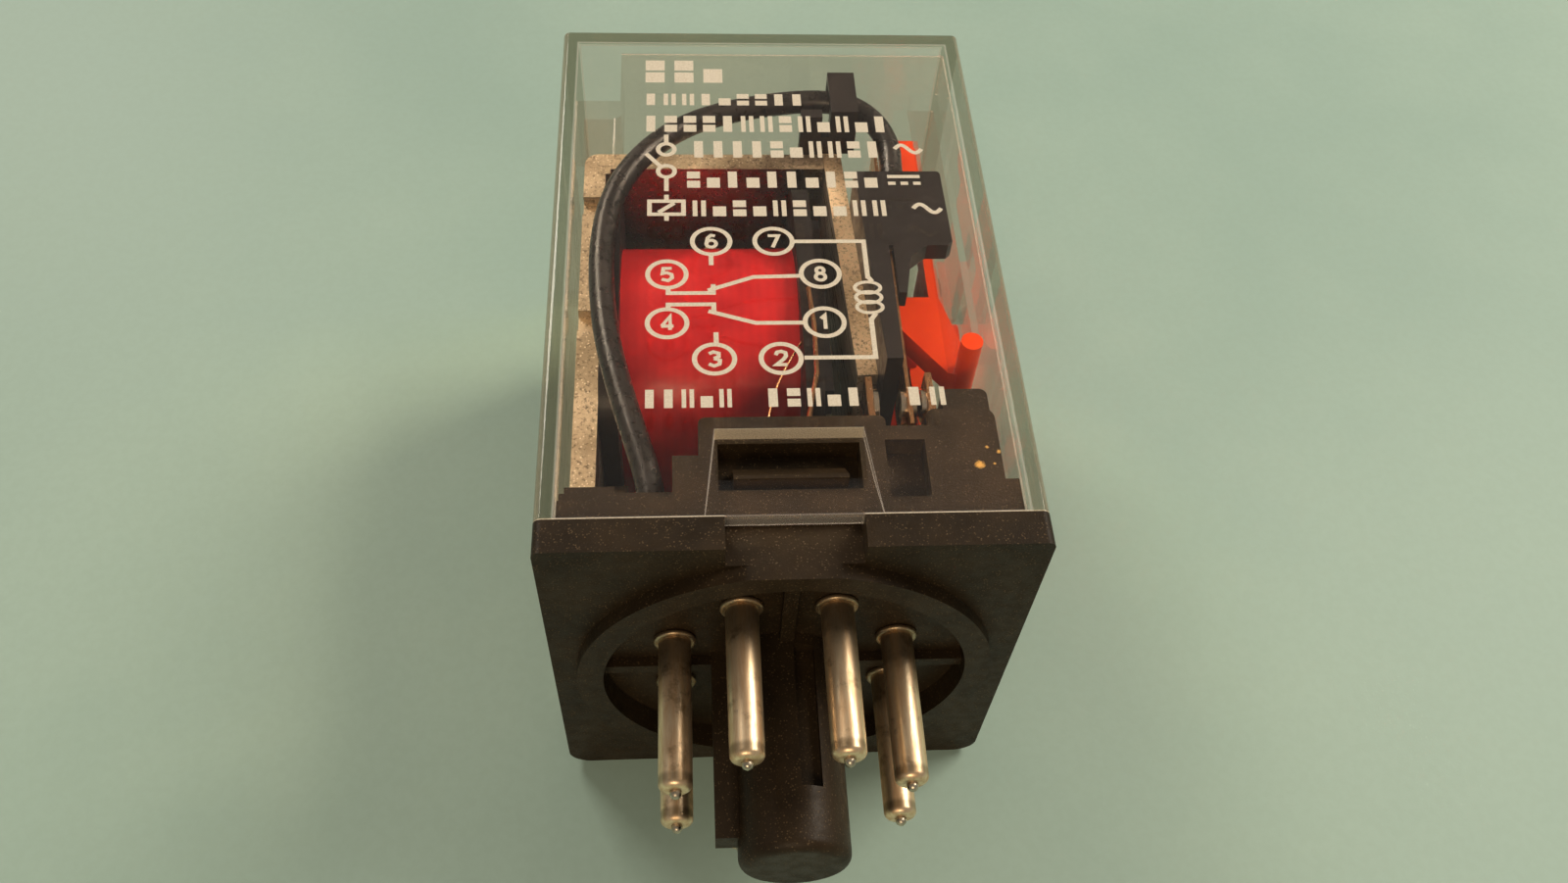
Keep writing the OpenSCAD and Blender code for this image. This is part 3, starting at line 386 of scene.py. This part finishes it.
def red_tape():
    """Glossy red film over the winding, with its end lapped over its start."""
    s = Shader("red_tape", metallic=0.0, ior=1.5, specular_ior_level=0.3, coat_weight=0.12,
               coat_roughness=0.15)
    # the winding shows through the film as fine lines round the coil
    wave = {"Vector": s.where, "Scale": 420.0, "Distortion": 1.5, "Detail": 2.0}
    lines = s.node("TexWave", wave, bands_direction="X").outputs["Fac"]
    cloud = s.noise(4.0, 4.0, 0.6)
    tone = s.mix(s.ramp(cloud, 0.3, 0.7), (0.50, 0.006, 0.010), (0.66, 0.014, 0.016))
    tone = s.mix(s.times(lines, 0.14), tone, (0.25, 0.0, 0.006))
    # the lap runs across the coil at a slight slant, and the tape above it is darker
    across = s.plus(s.place("Y"), s.times(s.place("X"), 0.02))
    lap_y = (box_mm("coil_tape")[1].y - 4.0) * MM
    lap = s.ramp(across, lap_y, lap_y - 0.1 * MM)
    s.color(s.mix(s.ramp(across, lap_y - 0.05 * MM, lap_y + 0.05 * MM, 0.0, 0.3), tone, (0.2, 0.0, 0.005)))
    s.rough(s.ramp(s.noise(1.6, 4.0), 0.3, 0.7, 0.3, 0.45))
    s.bump(lines, 0.01, 0.2)
    s.bump(lap, 0.05, 0.5)
    s.bump(s.noise(2.6, 3.0), 0.08, 0.3)
    return s.mat


def lead_sleeve():
    s = Shader("lead_sleeve", metallic=0.0, ior=1.5)
    s.color(s.mix(s.noise(1.5, 4.0), (0.010, 0.008, 0.007), (0.030, 0.023, 0.018)))
    s.rough(s.ramp(s.noise(0.6, 4.0), 0.3, 0.7, 0.24, 0.38))
    s.bump(s.noise(0.8, 3.0), 0.012, 0.4)
    return s.mat


def lever_plastic():
    s = Shader("lever_plastic", metallic=0.0, ior=1.49, specular_ior_level=0.22, subsurface_weight=0.2)
    s.bsdf.inputs["Subsurface Radius"].default_value = (0.002, 0.0006, 0.0002)
    s.color(s.mix(s.noise(2.0, 4.0), (0.68, 0.036, 0.0006), (0.82, 0.07, 0.001)))
    s.rough(s.ramp(s.noise(0.8, 3.0), 0.3, 0.7, 0.3, 0.44))
    s.bump(s.noise(0.4, 2.0), 0.006, 0.5)
    return s.mat


def white_ink():
    s = Shader("print_white", metallic=0.0, roughness=0.55, specular_ior_level=0.2)
    grain = s.noise(0.12, 3.0, 0.6)
    s.color(s.mix(s.ramp(grain, 0.3, 0.7), (0.66, 0.58, 0.45), (0.82, 0.74, 0.61)))
    s.bump(grain, 0.004, 0.6)
    return s.mat


def floor_mat():
    s = Shader("floor", metallic=0.0, ior=1.45, specular_ior_level=0.3)
    cloud = s.noise(60.0, 5.0, 0.6)
    fine = s.noise(0.8, 3.0, 0.6)
    tone = s.mix(s.ramp(cloud, 0.3, 0.7), (0.36, 0.50, 0.435), (0.41, 0.55, 0.475))
    s.color(s.mix(s.ramp(fine, 0.35, 0.65, 0.0, 0.1), tone, (0.30, 0.40, 0.32)))
    s.rough(s.ramp(cloud, 0.3, 0.7, 0.45, 0.55))
    s.bump(fine, 0.02, 0.35)
    return s.mat


M_BRIGHT = bright_steel()
M_COPPER = copper()
M_LEAD = lead_sleeve()
M_INK = white_ink()


def both(*names):
    """The front and the rear node of each name."""
    return [f"{name}_{side}" for name in names for side in ("front", "rear")]


def paint(material, names):
    for name in names:
        slots = nodes[name].data.materials
        slots.clear()
        slots.append(material)


def paint_all():
    paint(moulded_base(), ["base"])
    paint(clear_plastic(), ["cover"])
    paint(pin_metal(), [f"pin_{i}" for i in range(1, 9)])
    paint(solder(), ["pin_solder"])
    paint(magnet_steel(), ["yoke", "core"])
    # the armature's edges are lightened, painted light where they lie in shade
    paint(magnet_steel("armature_sheet", 0.45, 0.22), ["armature"])
    paint(M_BRIGHT, ["armature_rivets", "return_spring"])
    paint(M_COPPER, ["shading_ring", "coil_winding"])
    paint(M_COPPER, both("coil_wire", "blade", "no_terminal", "nc_terminal"))
    paint(copper("terminal_brass", 1.0), both("coil_tag", "common_tag"))
    paint(silver(), both("moving_contact", "no_contact", "nc_contact"))
    paint(black_moulding(), ["bobbin", "contact_carrier", "lead_guide"])
    paint(red_tape(), ["coil_tape"])
    paint(M_LEAD, both("lead"))
    paint(lever_plastic(), ["test_lever"])


def shade_smooth():
    """Smooth shading on every CAD node, with creases kept."""
    for o in nodes.values():
        for face in o.data.polygons:
            face.use_smooth = True
        o.data.set_sharp_from_angle(angle=math.radians(32))


paint_all()
shade_smooth()


def add(name, data):
    """A new object in the scene, around a mesh, light, curve or camera."""
    o = bpy.data.objects.new(name, data)
    bpy.context.scene.collection.objects.link(o)
    return o


# ---------------------------------------------------------------- printed face
# All in millimetres on the cover's front face: X from its middle line, and Y from the flange's
# lower face towards the cover's closed end.


class Print:
    """Flat ink shapes, collected into one thin mesh on the cover."""

    def __init__(self, z):
        self.verts = []
        self.faces = []
        self.z = z

    def layer(self):
        """Each shape lies a little above the last, so that crossing shapes don't share a plane."""
        self.z += 0.0005

    def quad(self, points):
        n = len(self.verts)
        self.verts += [(x * MM, y * MM, self.z * MM) for x, y in points]
        self.faces.append((n, n + 1, n + 2, n + 3))

    def bar(self, x0, y0, x1, y1):
        self.layer()
        self.quad([(x0, y0), (x1, y0), (x1, y1), (x0, y1)])

    def stroke(self, points, w, closed=False):
        """A line of width w through points, with mitred corners."""
        self.layer()
        points = [Vector(p) for p in points]
        n = len(points)
        left, right = [], []
        for i, p in enumerate(points):
            before = points[(i - 1) % n] if closed or i > 0 else None
            after = points[(i + 1) % n] if closed or i < n - 1 else None
            d0 = (p - before).normalized() if before is not None else (after - p).normalized()
            d1 = (after - p).normalized() if after is not None else d0
            along = (d0 + d1).normalized()
            across = Vector((-along.y, along.x))
            # a mitre reaches out further than half the width, within a limit on sharp corners
            reach = w / 2 / max(0.4, across.dot(Vector((-d0.y, d0.x))))
            left.append(p + across * reach)
            right.append(p - across * reach)
        for i in range(n if closed else n - 1):
            j = (i + 1) % n
            self.quad([right[i], right[j], left[j], left[i]])

    def ring(self, x, y, rx, ry, w, n=40):
        """An oval line about a place, with half widths rx and ry."""
        turns = [2 * math.pi * k / n for k in range(n)]
        self.stroke([(x + rx * math.cos(a), y + ry * math.sin(a)) for a in turns], w, True)

    def wave(self, x0, x1, y, h, w):
        """A single sine wave, the sign for alternating current."""
        steps = [k / 20 for k in range(21)]
        self.stroke([(x0 + (x1 - x0) * t, y + h * math.sin(2 * math.pi * t)) for t in steps], w)

    def blocks(self, chance, x0, x1, y0, y1, step):
        """A row of small plain blocks, about as dense as a printed line."""
        w, mid = 0.66 * step, (y0 + y1) / 2
        x = x0
        while x + w <= x1 + 0.01:
            kind = chance.randrange(4)
            if kind == 0:
                self.bar(x, y0, x + 0.36 * w, y1)
                self.bar(x + 0.64 * w, y0, x + w, y1)
            elif kind == 1:
                self.bar(x, y0, x + w, mid - 0.12)
                self.bar(x, mid + 0.12, x + w, y1)
            elif kind == 2:
                self.bar(x, y0, x + w, y0 + 0.62 * (y1 - y0))
            else:
                self.bar(x + 0.1 * w, y0, x + 0.8 * w, y1)
            x += step

    def made(self, name):
        mesh = bpy.data.meshes.new(name)
        mesh.from_pydata(self.verts, [], self.faces)
        mesh.materials.append(M_INK)
        return add(name, mesh)


# The figures' strokes, in a box 1 wide and 1.5 high, and their rings: Y from the middle, half width
# and half height
STROKES = {
    1: [[(0.2, 1.15), (0.55, 1.5), (0.55, 0.0)]],
    2: [[(0.05, 1.1), (0.2, 1.42), (0.55, 1.5), (0.88, 1.35), (0.92, 1.0), (0.7, 0.65), (0.08, 0.08),
         (0.98, 0.08)]],
    3: [[(0.05, 1.3), (0.4, 1.5), (0.85, 1.35), (0.85, 1.0), (0.45, 0.8)],
        [(0.45, 0.8), (0.95, 0.6), (0.9, 0.2), (0.45, 0.0), (0.02, 0.22)]],
    4: [[(0.75, 0.0), (0.75, 1.5), (0.05, 0.42)], [(0.0, 0.42), (1.05, 0.42)]],
    5: [[(0.92, 1.45), (0.2, 1.45), (0.12, 0.85), (0.5, 0.95), (0.9, 0.75), (0.95, 0.35), (0.6, 0.02),
         (0.05, 0.2)]],
    6: [[(0.85, 1.4), (0.5, 1.5), (0.18, 1.15), (0.08, 0.5)]],
    7: [[(0.02, 1.42), (0.95, 1.42), (0.4, 0.0)]],
    8: [],
}
RINGS = {6: [(-0.28, 0.43, 0.42)], 8: [(0.40, 0.33, 0.33), (-0.36, 0.42, 0.40)]}


def digit(pr, figure, x, y, w):
    """A figure w wide, about its middle."""
    line = 0.34 * w
    for points in STROKES[figure]:
        pr.stroke([(x + (px - 0.5) * w, y + (py - 0.75) * w) for px, py in points], line)
    for up, rx, ry in RINGS.get(figure, []):
        pr.ring(x, y + up * w, rx * w, ry * w, line, 18)


# Rows of plain blocks, where the real cover has words: X from and to, Y from and to, and spacing
ROWS = (
    (-10.0, -2.0, 46.2, 49.0, 2.4), (-10.0, 4.0, 43.4, 44.8, 1.5), (-10.0, 11.1, 40.2, 42.1, 1.55),
    (-6.2, 9.4, 37.2, 39.1, 1.55), (-6.7, 8.4, 33.8, 35.6, 1.55), (-6.3, 10.1, 30.7, 32.4, 1.55),
    (-9.9, -2.8, 12.4, 14.0, 1.3), (-1.4, 5.4, 12.4, 14.0, 1.4), (8.4, 11.6, 12.4, 14.0, 1.6))


def words_and_currents(pr, line):
    """Blocks in place of words, and the signs for alternating and direct current beside them."""
    chance = random.Random(3)
    for row in ROWS:
        pr.blocks(chance, *row)
    pr.wave(10.0, 12.2, 38.2, 0.45, line)
    pr.bar(9.1, 34.85, 11.7, 35.2)
    for x in (9.1, 10.1, 11.1):
        pr.bar(x, 34.1, x + 0.6, 34.45)
    pr.wave(10.8, 13.0, 31.5, 0.45, line)


def switch_and_coil(pr, line):
    """The signs for a contact and a coil, one above the other."""
    pr.ring(-8.3, 38.1, 0.65, 0.65, line, 24)
    pr.ring(-8.3, 35.6, 0.65, 0.65, line, 24)
    pr.stroke([(-8.3, 38.7), (-8.3, 39.8)], line)
    pr.stroke([(-8.8, 36.2), (-9.9, 37.6)], line)
    pr.stroke([(-8.3, 35.0), (-8.3, 33.4)], line)
    pr.stroke([(-9.6, 30.9), (-7.0, 30.9), (-7.0, 32.3), (-9.6, 32.3)], line, True)
    pr.stroke([(-8.9, 31.1), (-7.7, 32.1)], line)
    pr.stroke([(-8.3, 32.3), (-8.3, 33.0)], line)
    pr.stroke([(-8.3, 30.9), (-8.3, 30.2)], line)


def wiring(pr, line):
    """The plug's eight numbered pins, joined to two changeover contacts and a coil."""
    # clockwise from the key, which is between 8 and 1, as seen from the pins' side
    ring_x, ring_y, ring_r = -2.6, 22.35, 6.15
    for figure in range(1, 9):
        a = math.radians(22.5 - 45 * figure)
        x, y = ring_x + ring_r * math.cos(a), ring_y + ring_r * math.sin(a)
        pr.ring(x, y, 1.42, 1.32, line)
        digit(pr, figure, x, y, 0.85)
    # the coil, between pins 7 and 2
    pr.stroke([(1.2, 28.0), (6.6, 28.0), (6.6, 24.2)], line)
    pr.stroke([(1.4, 16.7), (6.5, 16.7), (6.5, 20.4)], line)
    for k in range(3):
        pr.ring(6.5, 23.3 - 0.95 * k, 0.95, 0.55, 0.28, 28)
    pr.stroke([(6.6, 24.4), (6.9, 23.9)], line)
    pr.stroke([(6.9, 20.8), (6.5, 20.2)], line)
    # the arms of pins 8 and 1, their closed contacts at 5 and 4, and their open ones at 6 and 3
    pr.stroke([(1.6, 24.5), (-1.9, 24.4), (-5.3, 23.1)], line)
    pr.stroke([(1.6, 19.95), (-1.9, 19.95), (-5.3, 21.1)], line)
    pr.stroke([(-8.2, 23.3), (-8.2, 22.85), (-4.9, 22.85), (-4.9, 23.7)], line)
    pr.stroke([(-8.2, 21.35), (-8.2, 21.75), (-4.9, 21.75), (-4.9, 20.9)], line)
    pr.stroke([(-5.0, 26.7), (-5.0, 25.6)], line)
    pr.stroke([(-4.8, 18.0), (-4.8, 19.1)], line)


def print_face():
    pr = Print(COVER_HIGH.z + 0.012)
    line = 0.36
    words_and_currents(pr, line)
    switch_and_coil(pr, line)
    wiring(pr, line)
    o = pr.made("print_front")
    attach(o, ROOT)


print_face()


# ---------------------------------------------------------------- leads and spring


def tube(name, route, radius, material):
    """A smooth round tube through a route, all in millimetres."""
    curve = bpy.data.curves.new(name, "CURVE")
    curve.dimensions = "3D"
    spline = curve.splines.new("NURBS")
    spline.points.add(len(route) - 1)
    for p, place in zip(spline.points, route):
        p.co = (*(c * MM for c in place), 1)
    spline.use_endpoint_u = True
    spline.order_u = 3
    curve.resolution_u = 8
    curve.bevel_depth = radius * MM
    curve.bevel_resolution = 6
    curve.use_fill_caps = True
    source = add(name, curve)
    bpy.context.view_layer.update()
    shaped = source.evaluated_get(bpy.context.evaluated_depsgraph_get())
    mesh = bpy.data.meshes.new_from_object(shaped)
    bpy.data.objects.remove(source)
    mesh.materials.clear()
    mesh.materials.append(material)
    for face in mesh.polygons:
        face.use_smooth = True
    return add(name, mesh)


def lead_route():
    """The front lead from its hole in the base, round the coil and over the yoke, to its blade.

    These are part.scad's points, in millimetres from the same faces.
    """
    pin_low, pin_high = box_mm("pin_1")
    pin_x = (pin_low.x + pin_high.x) / 2
    coil_x = box_mm("bobbin")[0].x
    pole_x, top, _ = box_mm("yoke")[1]
    blade_x = box_mm("blade_front")[0].x
    card = box_mm("contact_carrier")[1].y
    z = box_mm("lead_front")[1].z - LEAD_R
    return [
        (pin_x - 1.35, DECK + 0.05, z - 0.2), (pin_x - 1.55, DECK + 2, z - 0.1),
        (coil_x + 2.9, DECK + 5.6, z),
        (coil_x + 1.7, DECK + 10, z), (coil_x + 0.6, DECK + 15, z), (coil_x + 0.1, DECK + 20, z),
        (coil_x, DECK + 24.4, z), (coil_x + 0.5, top - 9.4, z), (coil_x + 1.6, top - 6, z),
        (coil_x + 3.7, top - 2.6, z), (coil_x + 6.7, top + 0.2, z), (pole_x - 8.4, top + 1.9, z),
        (pole_x - 4.6, top + 2.9, z), (pole_x - 0.8, top + 3.4, z), (pole_x + 2.4, top + 2.9, z),
        (blade_x + 0.5, top + 1, z - 0.4), (blade_x + 1.45, top - 1.4, z - 0.9),
        (blade_x + 1.35, top - 3.6, z - 1.1), (blade_x + 1.3, card + 0.5, z - 1.2)]


def leads():
    """Smooth sleeves in place of the CAD leads, which bend between the guide and the blade."""
    route = lead_route()
    for name, side in (("lead_front", 1), ("lead_rear", -1)):
        mirrored = [(x, y, side * z) for x, y, z in route]
        sleeve = tube(name + "_sleeve", mirrored, LEAD_R - 0.02, M_LEAD)
        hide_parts(name)
        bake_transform(sleeve)


def coil_spring():
    """Close-wound spring along X with a hook down to the yoke and a straight tail to the armature."""
    low, high = box_mm("return_spring")
    radius, wire, turns, steps = 0.95, 0.2, 15, 12
    y = high.y - radius - 0.32
    x0, x1 = low.x + 1.9, high.x - 0.95
    hook_x = low.x + 0.3
    route = [(hook_x, low.y, 0), (hook_x, y - 0.5, 0), (hook_x + 0.3, y, 0), (x0 - 0.4, y, 0)]
    for k in range(turns * steps + 1):
        a = 2 * math.pi * k / steps
        x = x0 + (x1 - x0) * k / (turns * steps)
        route.append((x, y + radius * math.cos(a), radius * math.sin(a)))
    route += [(x1 + 0.3, y, 0), (high.x, y, 0)]
    o = tube("spring_coil", route, wire, M_BRIGHT)
    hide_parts("return_spring")
    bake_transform(o)


def wire_ends():
    """Fine ends of the winding, bowed loosely from the tape's edge towards the solder tags."""
    tape_low, tape_high = box_mm("coil_tape")
    tag_high = box_mm("coil_tag_front")[1]
    start = Vector((tape_high.x, tape_low.y + 5.4, tape_high.z + 0.2))
    end = Vector((tag_high.x, tag_high.y + 4.6, tape_high.z - 0.1))
    bow, steps, wire = 0.6, 6, 0.075
    route = []
    for k in range(steps + 1):
        place = start.lerp(end, k / steps)
        route.append((place.x - bow * math.sin(math.pi * k / steps), place.y, place.z))
    for name, side in (("wire_end_front", 1), ("wire_end_rear", -1)):
        strand = tube(name, [(x, y, side * z) for x, y, z in route], wire, M_COPPER)
        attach(strand, ROOT)


leads()
coil_spring()
wire_ends()


# ---------------------------------------------------------------- floor, light, camera


def floor():
    """A plain square just below the object, in metres."""
    z = cad_low[2] - 0.00002
    half = 0.6
    corners = [(-half, -half, z), (half, -half, z), (half, half, z), (-half, half, z)]
    mesh = bpy.data.meshes.new("floor")
    mesh.from_pydata(corners, [], [(0, 1, 2, 3)])
    mesh.materials.append(floor_mat())
    add("floor", mesh)


def area(name, where, look, size, power, color):
    """A rectangular light at a place, turned towards another."""
    light = bpy.data.lights.new(name, "AREA")
    light.shape = "RECTANGLE"
    light.size, light.size_y = size
    light.energy = power
    light.color = color
    o = add(name, light)
    o.location = where
    o.rotation_mode = "QUATERNION"
    o.rotation_quaternion = (Vector(look) - Vector(where)).to_track_quat("-Z", "Y")


def lights():
    """A dim room, a key light on the right, one behind on the left and a warm one in front."""
    world = bpy.data.worlds.new("studio")
    world.use_nodes = True
    background = world.node_tree.nodes["Background"].inputs
    background["Color"].default_value = (1.0, 0.94, 0.84, 1)
    background["Strength"].default_value = 0.22
    bpy.context.scene.world = world
    area("key", (0.34, 0.16, 0.34), (0, 0.02, 0), (0.2, 0.2), 1.5, (1.0, 0.90, 0.76))
    area("back", (-0.30, 0.42, 0.36), (-0.05, 0.08, 0), (0.2, 0.2), 1.3, (1.0, 0.92, 0.80))
    area("front", (-0.06, -0.30, 0.24), (0, 0.0, 0.01), (0.18, 0.12), 0.42, (1.0, 0.78, 0.52))


# The photograph's view: place in millimetres, angles in degrees, and lens on a 36 mm wide sensor
CAMERA_AT = (-6.958, -43.098, 91.079)
CAMERA_YAW, CAMERA_PITCH, CAMERA_ROLL = 7.085, -54.418, 4.994
CAMERA_LENS = 30.89


def camera():
    data = bpy.data.cameras.new("camera")
    data.sensor_width = 36.0
    data.lens = CAMERA_LENS
    data.clip_start, data.clip_end = 0.005, 5.0
    yaw, pitch, roll = (math.radians(a) for a in (CAMERA_YAW, CAMERA_PITCH, CAMERA_ROLL))
    ahead = Vector((math.sin(yaw), math.cos(yaw), 0))
    forward = ahead * math.cos(pitch) + Vector((0, 0, math.sin(pitch)))
    level = Vector((math.cos(yaw), -math.sin(yaw), 0))
    above = level.cross(forward)
    right = math.cos(roll) * level + math.sin(roll) * above
    up = -math.sin(roll) * level + math.cos(roll) * above
    turned = Matrix((right, up, -forward)).transposed().to_4x4()
    turned.translation = Vector(CAMERA_AT) * MM
    o = add("camera", data)
    o.matrix_world = turned
    bpy.context.scene.camera = o


floor()
lights()
camera()
bpy.context.scene.view_settings.view_transform = "Standard"
bpy.context.view_layer.update()
